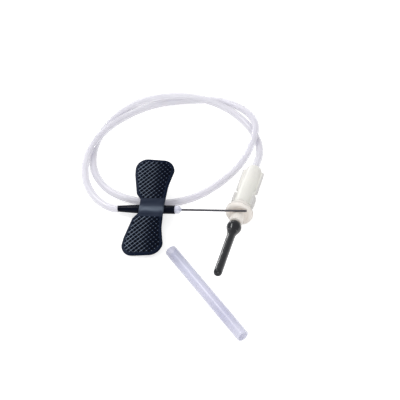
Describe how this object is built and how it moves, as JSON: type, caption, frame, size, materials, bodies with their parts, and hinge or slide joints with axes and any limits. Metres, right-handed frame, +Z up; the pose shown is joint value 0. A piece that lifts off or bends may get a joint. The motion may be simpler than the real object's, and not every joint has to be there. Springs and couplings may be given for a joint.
{
  "type": "winged infusion needle set",
  "caption": "Winged needle set: black textured wings, fine steel needle, clear tubing looped to an off-white luer connector and sleeved rear needle, clear cover beside.",
  "frame": {"origin": "on the bench under the middle of the needle, its hub, the winged sleeve and the cover taken together", "axes": "+Z up from the bench, +X along the needle in plan toward its point, +Y from the viewer toward the tubing's loop"},
  "size_m": [0.0665, 0.1086, 0.0099],
  "materials": {
    "steel": "fine drawn",
    "clear_hub": "clear, glossy",
    "black_wings": "satin, square pits between crossing ridges on the wings",
    "clear_tubing": "clear, glossy, soft",
    "off_white": "translucent off-white",
    "cream": "translucent cream",
    "dark_rubber": "smooth, glossy",
    "clear_cover": "clear, glossy"
  },
  "bodies": {
    "root": {"cannula": "steel", "needle_hub": "clear_hub", "winged_sleeve": "black_wings", "tubing": "clear_tubing", "luer_connector": "off_white", "luer_adapter": "cream", "holder_needle": "steel", "rubber_sleeve": "dark_rubber", "needle_cover": "clear_cover"}
  },
  "joints": []
}
